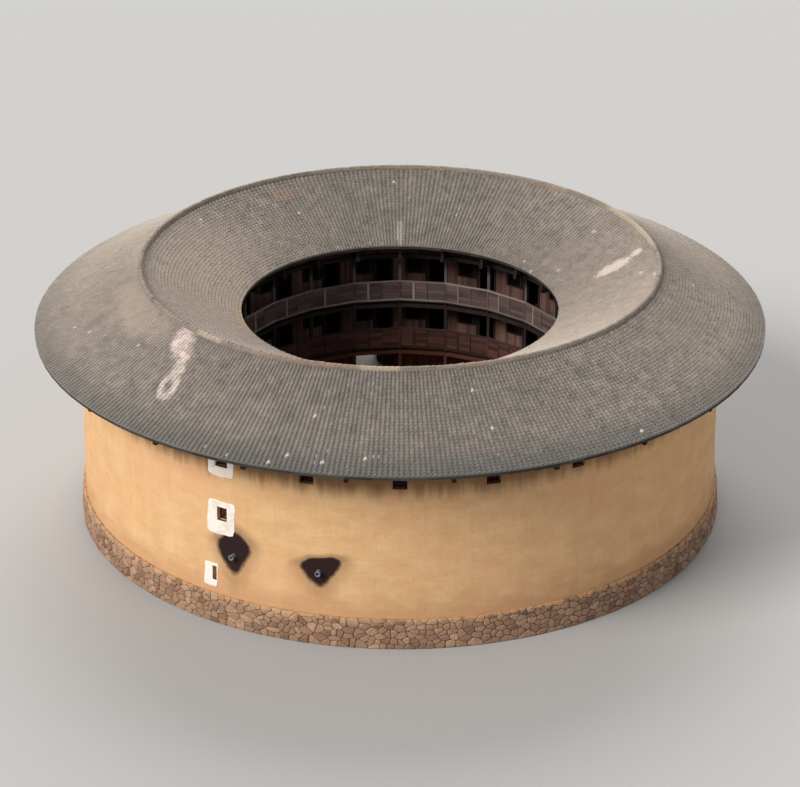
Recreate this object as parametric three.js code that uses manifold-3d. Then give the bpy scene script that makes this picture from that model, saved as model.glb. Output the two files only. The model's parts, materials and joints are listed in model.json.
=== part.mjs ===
// A three-storey rammed-earth roundhouse round an open courtyard. Millimetres, +Z up.
// The origin is at ground level in the middle of the courtyard, and the camera side is -Y.
// Angles are measured from -Y towards +X. A bay is one room wide, and a seam is the line between two bays.
import * as THREE from "three";
import { mergeVertices } from "three/addons/utils/BufferGeometryUtils.js";
import Module from "manifold-3d";

const wasm = await Module();
wasm.setup();

// Driving dimensions
const BAYS = 23;
const SIDES = 2 * BAYS; // facets of every round piece: one at each bay's middle, one at each seam
const SEAT = 0.3; // clearance between two pieces that touch

const WALL_INNER = 15200; // radius of the earth wall's room side
const WALL_FOOT = 16500; // outer radius on the plinth
const WALL_HEAD = 16350; // outer radius under the roof
const PLINTH_FOOT = 16700;
const PLINTH_HEAD = 16600;
const PLINTH_TOP = 1550;

const PLATFORM_TOP = 300;
const FLOOR_TOPS = [PLATFORM_TOP, 4250, 7050]; // walking level of each storey
const BOARD = 60; // floor boards
const JOIST = 160; // joist depth
const JOIST_WIDTH = 100;
const BEAM = 220; // ring beam depth
const POST = 160;
const POST_RING = 9300; // radius of the gallery posts' centres
const FLOOR_EDGE = 9110; // courtyard edge of the upper floors, at a seam
const PLATFORM_EDGE = 9050;
const ROOM_FRONT = 10900; // outer radius of the timber room fronts, at a seam
const ROOM_FRONT_BOARD = 120;
const RAIL_HEIGHT = 1150;

const OUTER_EAVE = { r: 18800, z: 10320 };
const INNER_EAVE = { r: 8150, z: 10700 };
const RIDGE = { r: 13250, z: 13250 };
const ROOF_BUILD_UP = 300; // tiles, battens and rafters, measured upright
const ROOF_SAG = 80;
const RIDGE_CAP = { half: 160, height: 140 };

const TIE_BEAM = { bottom: 9760, top: 9980, width: 200, inner: 8350, outer: 18450 };
const PURLIN = 160;
const FRAME_LENGTHS = { front: [-3, 3], right: [3, 9], back: [9, 14], left: [14, 20] }; // from bay to bay

const THIRD_WINDOW = { z0: 8450, z1: 9350, outer: 700, inner: 1000 };
const SECOND_WINDOW = { z0: 5560, z1: 6280, outer: 560, inner: 860 };
const SECOND_WINDOW_BAYS = [-2, 6, 11, 17];
const SLIT = { z0: 2250, z1: 3000, outer: 250, inner: 500, angle: THREE.MathUtils.degToRad(-33) };
const PIPE = { r: 120, bore: 90, z: 3850, sides: 12, inner: 15130, outer: 16760 };
const PIPE_ANGLES = { smoke_pipe_left: -29.1, smoke_pipe_right: -13.6 };

const GATE_BAY = 12;
const GATE = { half: 1150, top: 3300, jamb: 320, lintel: 350, frameInner: 15950, frameOuter: 16760 };
const LEAF = { thick: 60, width: 800 };
// Bays in each length of wall, from the gate bay onwards
const WALL_RUNS = { back_left: 4, left: 4, front: 5, right_1: 2, right_2: 2, back_right_1: 3, back_right_2: 2 };

const TALL = 20000; // longer than the house is high or its radius
const FAR = 30000;
const bay = (2 * Math.PI) / BAYS;
const facet = (2 * Math.PI) / SIDES;
const bayAngle = (k) => k * bay;
const seamAngle = (k) => (k + 0.5) * bay;
const facetCos = Math.cos(facet / 2); // how far a facet's middle comes in from its corners
const bayCos = Math.cos(bay / 2); // how far a straight timber's middle comes in from the seams

// Solids
function solid(geometry) {
  const g = geometry.clone();
  for (const name of ["normal", "uv"]) g.deleteAttribute(name);
  const merged = mergeVertices(g, 1e-3);
  return new wasm.Manifold(
    new wasm.Mesh({
      numProp: 3,
      vertProperties: merged.attributes.position.array,
      triVerts: new Uint32Array(merged.index.array),
    }),
  );
}

function geometryOf(made) {
  const mesh = made.getMesh();
  return new THREE.BufferGeometry()
    .setAttribute("position", new THREE.BufferAttribute(new Float32Array(mesh.vertProperties), 3))
    .setIndex(new THREE.BufferAttribute(new Uint32Array(mesh.triVerts), 1));
}

const union = (solids) => solids.reduce((a, b) => a.add(b));

// A ring with the closed outline [r, z], listed anticlockwise with r to the right. count is its number of sides.
function ring(outline, count = SIDES, start = facet / 2) {
  const points = [...outline, outline[0]].map(([r, z]) => new THREE.Vector2(r, z));
  return solid(new THREE.LatheGeometry(points, count, start).rotateX(Math.PI / 2));
}

// A ring of straight lengths that meet at the seams, as timbers do.
const timberRing = (outline) => ring(outline, BAYS, bay / 2);

const boxOutline = (r0, r1, z0, z1) => [[r0, z0], [r1, z0], [r1, z1], [r0, z1]];

// A box given by its distance from the middle, its place along the wall and its height, turned to an angle.
function block(angle, r0, r1, t0, t1, z0, z1) {
  const g = new THREE.BoxGeometry(t1 - t0, r1 - r0, z1 - z0);
  g.translate((t0 + t1) / 2, -(r0 + r1) / 2, (z0 + z1) / 2);
  return solid(g.rotateZ(angle));
}

// A through-cut whose width changes from the inner radius to the outer one.
function splayedCut(angle, r0, r1, inner, outer, z0, z1) {
  const plan = new THREE.Shape([
    new THREE.Vector2(-inner / 2, -r0),
    new THREE.Vector2(-outer / 2, -r1),
    new THREE.Vector2(outer / 2, -r1),
    new THREE.Vector2(inner / 2, -r0),
  ]);
  const g = new THREE.ExtrudeGeometry(plan, { depth: z1 - z0, bevelEnabled: false });
  return solid(g.translate(0, 0, z0).rotateZ(angle));
}

// The part of a ring between two angles, less half a seat at each end.
function between(made, from, to) {
  const middle = (from + to) / 2;
  const half = (to - from) / 2;
  const plan = new THREE.Shape([
    new THREE.Vector2(0, 0),
    new THREE.Vector2(-FAR * Math.sin(half), -FAR * Math.cos(half)),
    new THREE.Vector2(0, -FAR / Math.cos(half)),
    new THREE.Vector2(FAR * Math.sin(half), -FAR * Math.cos(half)),
  ]);
  const g = new THREE.ExtrudeGeometry(plan, { depth: 2 * TALL, bevelEnabled: false });
  g.translate(0, -SEAT / 2 / Math.sin(half), -TALL / 2).rotateZ(middle);
  return made.intersect(solid(g));
}

// The roof's upper surface, which sags a little between ridge and eave
function slopePoints(eave) {
  const r = (eave.r + RIDGE.r) / 2;
  const z = (eave.z + RIDGE.z) / 2 - ROOF_SAG;
  return [eave, { r, z }, RIDGE];
}

function roofTop(r) {
  const [a, b, c] = slopePoints(r > RIDGE.r ? OUTER_EAVE : INNER_EAVE);
  const [p, q] = Math.abs(r - RIDGE.r) > Math.abs(b.r - RIDGE.r) ? [a, b] : [b, c];
  return p.z + ((r - p.r) / (q.r - p.r)) * (q.z - p.z);
}

const roofUnderside = (r) => roofTop(r) - ROOF_BUILD_UP;

// Materials
const finish = (color, roughness) => new THREE.MeshStandardMaterial({ color, roughness, metalness: 0 });
const earth = finish(0xd9a76c, 0.95);
const stone = finish(0x9a8474, 0.9);
const granite = finish(0x9b958c, 0.85);
const timber = finish(0x4b382d, 0.8);
const paleTimber = finish(0x7a6a60, 0.85);
const tile = finish(0x817a70, 0.9);
const clay = finish(0x8b8890, 0.8);

const house = new THREE.Group();

function add(name, made, material) {
  const mesh = new THREE.Mesh(geometryOf(made), material);
  mesh.name = name;
  house.add(mesh);
}

// Stone plinth, in three lengths with the gateway between two of them
function buildPlinth() {
  const whole = ring([[WALL_INNER, 0], [PLINTH_FOOT, 0], [PLINTH_HEAD, PLINTH_TOP], [WALL_INNER, PLINTH_TOP]]);
  const gate = bayAngle(GATE_BAY);
  const gateway = block(gate, WALL_INNER - 500, PLINTH_FOOT + 500, -GATE.half, GATE.half, -10, PLINTH_TOP + 10);
  const cut = whole.subtract(gateway);
  const third = (2 * Math.PI) / 3;
  ["left", "front", "right"].forEach((where, i) => {
    add(`plinth_${where}`, between(cut, gate + i * third, gate + (i + 1) * third), stone);
  });
}

// Earth wall
function wallCuts() {
  const inside = WALL_INNER - 200;
  const outside = WALL_FOOT + 200;
  const depth = WALL_HEAD - WALL_INNER;
  const splay = (angle, w) => {
    const flare = (w.inner - w.outer) / depth;
    const reach = outside - inside;
    const atInside = w.inner + 200 * flare;
    return splayedCut(angle, inside, outside, atInside, atInside - reach * flare, w.z0, w.z1);
  };
  const cuts = [];
  for (let k = 0; k < BAYS; k++) {
    cuts.push(splay(bayAngle(k), THIRD_WINDOW));
    cuts.push(
      block(
        seamAngle(k), inside, outside,
        -TIE_BEAM.width / 2 - SEAT, TIE_BEAM.width / 2 + SEAT,
        TIE_BEAM.bottom - SEAT, TIE_BEAM.top + SEAT,
      ),
    );
  }
  for (const k of SECOND_WINDOW_BAYS) cuts.push(splay(bayAngle(k), SECOND_WINDOW));
  cuts.push(splay(SLIT.angle, SLIT));
  for (const degrees of Object.values(PIPE_ANGLES)) {
    cuts.push(pipeRod(PIPE.r + SEAT, inside, outside, THREE.MathUtils.degToRad(degrees)));
  }
  return cuts;
}

function pipeRod(radius, r0, r1, angle) {
  const g = new THREE.CylinderGeometry(radius, radius, r1 - r0, PIPE.sides);
  return solid(g.translate(0, -(r0 + r1) / 2, PIPE.z).rotateZ(angle));
}

function buildWall() {
  const foot = PLINTH_TOP + SEAT;
  const kink = (OUTER_EAVE.r + RIDGE.r) / 2;
  let whole = ring([
    [WALL_INNER, foot],
    [WALL_FOOT, foot],
    [WALL_HEAD, roofUnderside(WALL_HEAD) - SEAT],
    [kink, roofUnderside(kink) - SEAT],
    [WALL_INNER, roofUnderside(WALL_INNER) - SEAT],
  ]);
  for (const cut of wallCuts()) whole = whole.subtract(cut);

  const from = seamAngle(GATE_BAY - 1);
  const gate = bayAngle(GATE_BAY);
  const gateLength = between(whole, from, from + bay);
  const inside = WALL_INNER - 500;
  const outside = WALL_FOOT + 500;
  const wide = 5000;
  const over = block(gate, inside, outside, -GATE.half, GATE.half, GATE.top + SEAT, TALL);
  const leftOf = block(gate, inside, outside, -wide, -GATE.half - SEAT, 0, TALL);
  const rightOf = block(gate, inside, outside, GATE.half + SEAT, wide, 0, TALL);
  add("earth_wall_over_gate", gateLength.intersect(over), earth);
  add("earth_wall_gate_side_1", gateLength.intersect(leftOf), earth);
  add("earth_wall_gate_side_2", gateLength.intersect(rightOf), earth);

  let start = from + bay;
  for (const [where, bays] of Object.entries(WALL_RUNS)) {
    add(`earth_wall_${where}`, between(whole, start, start + bays * bay), earth);
    start += bays * bay;
  }
}

function buildPipes() {
  for (const [name, degrees] of Object.entries(PIPE_ANGLES)) {
    const angle = THREE.MathUtils.degToRad(degrees);
    const bore = pipeRod(PIPE.bore, PIPE.inner - 50, PIPE.outer + 50, angle);
    add(name, pipeRod(PIPE.r, PIPE.inner, PIPE.outer, angle).subtract(bore), clay);
  }
}

// Stone platform that the ground floor's posts and room fronts stand on
function buildPlatform() {
  const disc = ring(boxOutline(WALL_INNER - 4000, WALL_INNER - SEAT, 0, PLATFORM_TOP));
  const edge = timberRing(boxOutline(PLATFORM_EDGE, WALL_INNER - 3000, 0, PLATFORM_TOP));
  add("ground_floor_platform", disc.add(edge), granite);
}

// An upper floor: boards on a radial joist at each seam
function buildFloor(storey) {
  const top = FLOOR_TOPS[storey];
  const under = top - BOARD;
  const outer = ring(boxOutline(WALL_INNER - 4000, WALL_INNER - SEAT, under, top));
  const inner = timberRing(boxOutline(FLOOR_EDGE, WALL_INNER - 3000, under, top));
  const joists = [];
  for (let k = 0; k < BAYS; k++) {
    joists.push(
      block(
        seamAngle(k), FLOOR_EDGE + 40, WALL_INNER * facetCos - SEAT,
        -JOIST_WIDTH / 2, JOIST_WIDTH / 2, under - JOIST, under + 10,
      ),
    );
  }
  return union([outer, inner, ...joists]);
}

// Gallery posts at the seams, joined by the ring beam on their heads
function buildGalleryFrame(storey) {
  const bottom = FLOOR_TOPS[storey] + SEAT;
  const last = storey === FLOOR_TOPS.length - 1;
  const beamTop = (last ? TIE_BEAM.bottom : FLOOR_TOPS[storey + 1] - BOARD - JOIST) - SEAT;
  const half = POST / 2;
  const posts = [];
  for (let k = 0; k < BAYS; k++) {
    posts.push(block(seamAngle(k), POST_RING - half, POST_RING + half, -half, half, bottom, beamTop - BEAM + 10));
  }
  const beam = timberRing(boxOutline(POST_RING - 90, POST_RING + 90, beamTop - BEAM, beamTop));
  return union([beam, ...posts]);
}

// Parapet in front of the posts: top and bottom rails with a board panel between them
function buildRailing(storey) {
  const z0 = FLOOR_TOPS[storey] + SEAT;
  const z1 = z0 + RAIL_HEIGHT;
  const back = POST_RING - POST / 2 - SEAT;
  const rail = 80;
  const front = back - rail;
  const panel = 30;
  return timberRing([
    [front, z0],
    [back, z0],
    [back, z0 + rail],
    [back - rail + panel + 20, z0 + rail],
    [back - rail + panel + 20, z1 - rail],
    [back, z1 - rail],
    [back, z1],
    [front, z1],
    [front, z1 - rail],
    [front + 20, z1 - rail],
    [front + 20, z0 + rail],
    [front, z0 + rail],
  ]);
}

// Timber room fronts with a door and a window in each bay
function buildRoomFront(storey) {
  const z0 = FLOOR_TOPS[storey] + SEAT;
  const last = storey === FLOOR_TOPS.length - 1;
  const z1 = (last ? TIE_BEAM.bottom : FLOOR_TOPS[storey + 1] - BOARD - JOIST) - SEAT;
  let made = timberRing(boxOutline(ROOM_FRONT - ROOM_FRONT_BOARD, ROOM_FRONT, z0, z1));
  const r0 = ROOM_FRONT * bayCos - 400;
  const r1 = ROOM_FRONT + 300;
  const door = { t0: -1000, t1: -150, top: 1950, sill: 80 };
  const window = { t0: 250, t1: 1050, top: 1850, sill: 1000 };
  for (let k = 0; k < BAYS; k++) {
    if (storey === 0 && k === GATE_BAY) {
      made = made.subtract(block(bayAngle(k), r0, r1, -GATE.half, GATE.half, z0 - 10, z0 + 3000));
      continue;
    }
    for (const gap of [door, window]) {
      made = made.subtract(block(bayAngle(k), r0, r1, gap.t0, gap.t1, z0 + gap.sill, z0 + gap.top));
    }
  }
  return made;
}

// Roof frame: at each seam a tie beam with a post for each purlin, and the purlins straight between seams.
// A purlin lies just under the roof at its seam corners or, inside the ridge, at its middles.
// The frame comes in four lengths that meet at bay middles.
function purlin(r) {
  const half = PURLIN / 2;
  const outside = roofUnderside((r + half) / facetCos);
  const inside = roofUnderside(((r - half) * bayCos) / facetCos);
  const top = Math.min(outside, inside) - SEAT;
  return { ring: timberRing(boxOutline(r - half, r + half, top - PURLIN, top)), bottom: top - PURLIN };
}

function buildRoofFrame() {
  const pieces = [];
  const rows = [TIE_BEAM.inner + 150, RIDGE.r + 60, TIE_BEAM.outer - 100];
  const purlins = rows.map(purlin);
  pieces.push(...purlins.map((p) => p.ring));
  const half = PURLIN / 2;
  for (let k = 0; k < BAYS; k++) {
    const angle = seamAngle(k);
    pieces.push(
      block(
        angle, TIE_BEAM.inner, TIE_BEAM.outer,
        -TIE_BEAM.width / 2, TIE_BEAM.width / 2, TIE_BEAM.bottom, TIE_BEAM.top,
      ),
    );
    rows.forEach((r, i) => {
      const head = purlins[i].bottom + 20;
      if (head > TIE_BEAM.top) {
        pieces.push(block(angle, r - half + 10, r + half - 10, -70, 70, TIE_BEAM.top - 10, head));
      }
    });
  }
  const whole = union(pieces);
  for (const [where, [from, to]] of Object.entries(FRAME_LENGTHS)) {
    add(`roof_frame_${where}`, between(whole, bayAngle(from), bayAngle(to)), timber);
  }
}

// Roof slopes, each in four quarters
function slope(eave) {
  const points = slopePoints(eave);
  const side = Math.sign(eave.r - RIDGE.r);
  const top = points.map((p) => [p.r, p.z]);
  top[2] = [RIDGE.r + (side * SEAT) / 2, RIDGE.z];
  const under = top.map(([r, z]) => [r, z - ROOF_BUILD_UP]);
  const outline = [...under, ...top.reverse()];
  return ring(side > 0 ? outline.reverse() : outline);
}

function buildRoof() {
  const quarter = Math.PI / 2;
  for (const [name, eave] of [["outer", OUTER_EAVE], ["inner", INNER_EAVE]]) {
    const whole = slope(eave);
    ["front", "right", "back", "left"].forEach((where, i) => {
      add(`roof_${name}_${where}`, between(whole, (i - 0.5) * quarter, (i + 0.5) * quarter), tile);
    });
  }
  const { half, height } = RIDGE_CAP;
  const cap = ring([
    [RIDGE.r - half, roofTop(RIDGE.r - half) + SEAT],
    [RIDGE.r, RIDGE.z + SEAT],
    [RIDGE.r + half, roofTop(RIDGE.r + half) + SEAT],
    [RIDGE.r, RIDGE.z + height],
  ]);
  add("roof_ridge_cap", cap, tile);
}

// Gateway: granite frame with two plank leaves folded back against the passage sides
function buildGate() {
  const gate = bayAngle(GATE_BAY);
  const { half, top, jamb, lintel, frameInner, frameOuter } = GATE;
  const clear = half - SEAT;
  const inner = WALL_INNER + SEAT;
  add("gate_threshold", block(gate, inner, frameOuter, -clear, clear, 0, PLATFORM_TOP), granite);
  const z0 = PLATFORM_TOP + SEAT;
  const z1 = top - lintel;
  for (const [name, side] of [["gate_jamb_1", -1], ["gate_jamb_2", 1]]) {
    const t = [side * clear, side * (half - jamb)].sort((a, b) => a - b);
    add(name, block(gate, frameInner, frameOuter, t[0], t[1], z0, z1 - SEAT), granite);
  }
  add("gate_lintel", block(gate, frameInner, frameOuter, -clear, clear, z1, top), granite);
  for (const [name, side] of [["gate_leaf_1", -1], ["gate_leaf_2", 1]]) {
    const t = [side * clear, side * (clear - LEAF.thick)].sort((a, b) => a - b);
    const r1 = frameInner - SEAT;
    add(name, block(gate, r1 - LEAF.width, r1, t[0], t[1], z0, z1 - 20), timber);
  }
}

buildPlinth();
buildWall();
buildPipes();
buildPlatform();
add("gallery_posts_ground", buildGalleryFrame(0), timber);
add("gallery_posts_second", buildGalleryFrame(1), timber);
add("gallery_posts_third", buildGalleryFrame(2), timber);
add("second_floor", buildFloor(1), timber);
add("third_floor", buildFloor(2), timber);
add("gallery_railing_second", buildRailing(1), paleTimber);
add("gallery_railing_third", buildRailing(2), paleTimber);
add("room_front_ground", buildRoomFront(0), timber);
add("room_front_second", buildRoomFront(1), timber);
add("room_front_third", buildRoomFront(2), timber);
buildRoofFrame();
buildRoof();
buildGate();

export default house;
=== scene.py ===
"""Looks for the earth roundhouse: tiles, masonry, plaster, timber details and their materials.

Metres, +Z up, with the camera on the -Y side. Angles are measured from -Y towards +X.
A bay is one room wide, and a seam is the line between two bays.
"""
import json
import math

import bpy
import numpy as np
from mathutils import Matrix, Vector


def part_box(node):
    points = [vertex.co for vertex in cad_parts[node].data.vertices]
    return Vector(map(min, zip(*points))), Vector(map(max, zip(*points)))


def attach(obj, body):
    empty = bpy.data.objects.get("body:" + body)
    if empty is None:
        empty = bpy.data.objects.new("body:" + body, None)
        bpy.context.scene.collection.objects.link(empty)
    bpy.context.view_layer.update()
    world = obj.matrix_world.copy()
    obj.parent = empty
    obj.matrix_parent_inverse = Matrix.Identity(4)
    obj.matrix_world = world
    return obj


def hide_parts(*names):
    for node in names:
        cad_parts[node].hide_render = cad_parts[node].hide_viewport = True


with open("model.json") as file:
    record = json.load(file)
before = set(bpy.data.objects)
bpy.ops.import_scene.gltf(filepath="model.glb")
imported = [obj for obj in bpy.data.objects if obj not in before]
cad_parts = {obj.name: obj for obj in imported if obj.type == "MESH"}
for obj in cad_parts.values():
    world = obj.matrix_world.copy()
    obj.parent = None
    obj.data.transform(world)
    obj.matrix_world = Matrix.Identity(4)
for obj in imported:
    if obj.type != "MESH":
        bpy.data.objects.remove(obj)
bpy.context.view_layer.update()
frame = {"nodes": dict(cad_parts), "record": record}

# Driving dimensions, as in the solids
BAYS = 23
BAY = 2 * math.pi / BAYS
BAY_COS = math.cos(BAY / 2)  # how far a straight timber's middle comes in from the seams
BATTER_FOOT, BATTER_HEAD = 16.50, 16.35  # outer radius of the wall at its foot and its head
WALL_INNER = 15.2
WAVE_SIZE = 0.012  # unevenness of the wall's face
PLINTH_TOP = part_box("plinth_front")[1].z
PLINTH_FOOT, PLINTH_HEAD = 16.7, 16.6
FLOORS = [0.3, 4.25, 7.05]
CEILINGS = [4.03, 6.83, 9.76]
OUTER_EAVE = (18.73, 10.32)  # distance and height of the tiles' lower edge
INNER_EAVE = (8.17, 10.70)
RIDGE = (13.25, 13.25)
SAG = 0.08
GATE_BAY = 12
GATE_ANGLE = GATE_BAY * BAY
GATE_HALF, GATE_TOP = 1.15, 3.30
# Holes, each with the heights of its white surround and how far that reaches to the left and the right
THIRD_WINDOW = {"half": 0.35, "low": 8.45, "high": 9.35, "surround": (7.93, 9.62, 0.74, 0.70)}
SECOND_WINDOW = {"half": 0.28, "low": 5.56, "high": 6.28, "surround": (4.82, 6.60, 0.84, 0.70)}
SLIT = {"half": 0.125, "low": 2.25, "high": 3.0, "surround": (1.86, 3.14, 0.62, 0.18)}
SECOND_WINDOW_BAYS = (-2, 6, 11, 17)
SLIT_ANGLE = math.radians(-33)
PIPE_ANGLES = {"smoke_pipe_left": math.radians(-29.1), "smoke_pipe_right": math.radians(-13.6)}
PIPE_HEIGHT = 3.85
QUARTERS = ("front", "right", "back", "left")
STOREYS = ("ground", "second", "third")

# Lengths along a round surface are measured at these distances from the middle
WALL_ARC, PLINTH_ARC, ROOF_ARC, TIMBER_ARC, SLAB_ARC = 16.4, 16.6, 15.0, 11.0, 10.0

rng = np.random.default_rng(7)


def polar(r, angle, z):
    """Points from their distance to the middle, angle and height."""
    r, angle, z = np.broadcast_arrays(r, angle, z)
    return np.stack([r * np.sin(angle), -r * np.cos(angle), z], axis=-1)


def waves(angle, z):
    """The unevenness of the wall's face, the same on both sides of a joint."""
    a, h = np.broadcast_arrays(angle, z)
    total = 0.55 * np.sin(17 * a + 1.3 * h) + 0.4 * np.sin(31 * a - 0.9 * h + 1)
    total += 0.35 * np.sin(53 * a + 2.1 * h + 2) + 0.3 * np.sin(7 * a + 0.5 * h + 4)
    return WAVE_SIZE * total


# Meshes
class Soup:
    """Collects the points and faces of one piece, with a shade from 0 to 1 for each face."""

    def __init__(self):
        self.points, self.faces, self.shades = [], [], []

    def add(self, points, faces, shade=0.5):
        first = len(self.points)
        self.points.extend(points)
        self.faces.extend([i + first for i in face] for face in faces)
        self.shades.extend([shade] * len(faces))

    def bar(self, angle, r, t, low, high):
        """A straight bar of a random shade, from r[0] to r[1] outwards and t[0] to t[1] along the wall.
        low and high are its heights, each one number or one for each end."""
        low, high = np.broadcast_to(low, 2), np.broadcast_to(high, 2)
        plan = [(t[0], r[1], 1), (t[1], r[1], 1), (t[1], r[0], 0), (t[0], r[0], 0)]
        c, s = math.cos(angle), math.sin(angle)
        points = [(x * c + y * s, x * s - y * c, height[end])
                  for height in (low, high) for x, y, end in plan]
        faces = [(3, 2, 1, 0), (4, 5, 6, 7), (0, 1, 5, 4), (1, 2, 6, 5), (2, 3, 7, 6), (3, 0, 4, 7)]
        self.add(points, faces, rng.random())

    def make(self, name, *look):
        piece(name, self.points, self.faces, self.shades, *look)


def add_object(name, data):
    made = bpy.data.objects.new(name, data)
    bpy.context.scene.collection.objects.link(made)
    return made


def piece(name, points, faces, shades, material, slot, replaces=()):
    """An object of the house. shades is one shade for all its faces, or one for each."""
    mesh = bpy.data.meshes.new(name)
    mesh.from_pydata(np.reshape(points, (-1, 3)).tolist(), [], [tuple(face) for face in faces])
    layer = mesh.attributes.new("shade", "FLOAT", "FACE")
    layer.data.foreach_set("value", np.full(len(faces), shades, dtype=np.float32))
    mesh.materials.append(material)
    made = add_object(name, mesh)
    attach(made, "root")
    if replaces:
        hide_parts(*replaces)


def grid_faces(rows, columns, wrap_rows=False, wrap_columns=False):
    """The faces of a grid of points. Where it wraps, the last row or column meets the first."""
    i = np.arange(rows if wrap_rows else rows - 1)[:, None]
    j = np.arange(columns if wrap_columns else columns - 1)[None, :]
    above, beside = (i + 1) % rows, (j + 1) % columns
    corners = [i * columns + j, i * columns + beside, above * columns + beside, above * columns + j]
    return np.stack(corners, axis=-1).reshape(-1, 4)


def slab_faces(rows, under_rows, columns):
    """The faces that close a grid of points with a second one under it, whose points follow."""
    first = rows * columns
    top = np.arange(first).reshape(rows, columns)
    under = np.arange(under_rows * columns).reshape(-1, columns) + first
    faces = (grid_faces(under_rows, columns)[:, ::-1] + first).tolist()
    for j in range(columns - 1):
        faces.append([top[0, j + 1], top[0, j], under[0, j], under[0, j + 1]])
        faces.append([top[-1, j], top[-1, j + 1], under[-1, j + 1], under[-1, j]])
    faces.append([*top[:, 0], *under[::-1, 0]])
    faces.append([*top[::-1, -1], *under[:, -1]])
    return faces


def full_turn(count):
    """That many angles, evenly spaced all round."""
    return np.linspace(0, 2 * math.pi, count, endpoint=False)


def closed_grid(radius, angle, height):
    """The points and faces of a grid that is closed both ways."""
    points = polar(radius, angle, height)
    return points, grid_faces(*points.shape[:2], True, True)


# Materials
def srgb(r, g, b):
    """8-bit values as linear RGBA."""
    linear = [(c / 255 / 12.92) if c <= 10 else ((c / 255 + 0.055) / 1.055) ** 2.4 for c in (r, g, b)]
    return (*linear, 1.0)


class Shader:
    """A material and short ways to add nodes. A colour is a socket, three 8-bit values or linear RGBA."""

    def __init__(self, name, roughness, specular):
        self.material = bpy.data.materials.new(name)
        self.material.use_nodes = True
        self.tree = self.material.node_tree
        self.bsdf = self.tree.nodes["Principled BSDF"]
        self.bsdf.inputs["Roughness"].default_value = roughness
        self.bsdf.inputs["Specular IOR Level"].default_value = specular

    def node(self, kind, inputs=(), **properties):
        made = self.tree.nodes.new("ShaderNode" + kind)
        for key, value in properties.items():
            setattr(made, key, value)
        for key, value in dict(inputs).items():
            self.feed(made.inputs[key], value)
        return made

    def feed(self, socket, value):
        if isinstance(value, bpy.types.NodeSocket):
            self.tree.links.new(value, socket)
        elif isinstance(value, tuple) and len(value) == 3:
            socket.default_value = srgb(*value)
        else:
            socket.default_value = value

    def math(self, operation, a, b=0.0, c=0.0):
        return self.node("Math", {0: a, 1: b, 2: c}, operation=operation).outputs[0]

    def chain(self, operation, values):
        total, *others = values
        for value in others:
            total = self.math(operation, total, value)
        return total

    def plus(self, *values):
        return self.chain("ADD", values)

    def times(self, *values):
        return self.chain("MULTIPLY", values)

    def larger(self, *values):
        return self.chain("MAXIMUM", values)

    def minus(self, a, b):
        return self.math("SUBTRACT", a, b)

    def over(self, a, b):
        return self.math("DIVIDE", a, b)

    def swing(self, noise, size):
        """A noise from 0 to 1, brought round 0 and scaled."""
        return self.times(self.minus(noise, 0.5), size)

    def ramp(self, value, low, high, to_low=0.0, to_high=1.0):
        inputs = {"Value": value, "From Min": low, "From Max": high, "To Min": to_low, "To Max": to_high}
        return self.node("MapRange", inputs, interpolation_type="SMOOTHSTEP").outputs[0]

    def mix(self, share, a, b, blend="MIX"):
        return self.node("Mix", {0: share, 6: a, 7: b}, data_type="RGBA", blend_type=blend).outputs[2]

    def layers(self, colour, *layers):
        """The colour with others over it. A layer is a mask, its share and its colour, or a value, where that
        starts to show and where it shows in full, its share and its colour."""
        for value, *ends, share, other in layers:
            mask = self.ramp(value, *ends, 0, share) if ends else self.times(value, share)
            colour = self.mix(mask, colour, other)
        return colour

    def vector(self, x, y=0.0, z=0.0):
        return self.node("CombineXYZ", {0: x, 1: y, 2: z}).outputs[0]

    def noise(self, vector, scale, detail=4, roughness=0.6):
        inputs = {"Vector": vector, "Scale": scale, "Detail": detail, "Roughness": roughness}
        return self.node("TexNoise", inputs).outputs["Fac"]

    def bricks(self, vector, size, joint, blur, tones, joint_tone, offset):
        """Rows of blocks in two tones, with joints between them."""
        inputs = {"Vector": vector, "Scale": 1.0, "Brick Width": size[0], "Row Height": size[1],
                  "Mortar Size": joint, "Mortar Smooth": blur, "Bias": 0.0,
                  "Color1": tones[0], "Color2": tones[1], "Mortar": joint_tone}
        return self.node("TexBrick", inputs, offset=offset).outputs

    def place(self):
        """Object coordinates, as a vector and as x, y and z."""
        vector = self.node("TexCoord").outputs["Object"]
        return vector, *self.node("SeparateXYZ", {0: vector}).outputs

    def round_place(self, radius):
        """Object coordinates, the length round from the front, the distance to the middle and the height."""
        vector, x, y, z = self.place()
        angle = self.math("ARCTAN2", x, self.times(y, -1.0))
        distance = self.math("SQRT", self.plus(self.times(x, x), self.times(y, y)))
        return vector, self.times(angle, radius), distance, z

    def shade(self):
        return self.node("Attribute", attribute_name="shade").outputs["Fac"]

    def finish(self, colour, height=None, distance=0.01, strength=1.0):
        self.feed(self.bsdf.inputs["Base Color"], colour)
        if height is not None:
            bump = self.node("Bump", {"Height": height, "Distance": distance, "Strength": strength})
            self.feed(self.bsdf.inputs["Normal"], bump.outputs[0])
        return self.material

    def ellipse(self, s, z, centre, half):
        """0 at the centre of an ellipse, 1 on its line and more outside it."""
        u = self.over(self.minus(s, centre[0]), half[0])
        v = self.over(self.minus(z, centre[1]), half[1])
        return self.plus(self.times(u, u), self.times(v, v))

    def blob(self, s, z, centre, half, distort, soft):
        """1 inside an ellipse, 0 outside, with a soft edge moved by distort."""
        return self.ramp(self.plus(self.ellipse(s, z, centre, half), distort), 1 + soft, 1 - soft)


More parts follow.
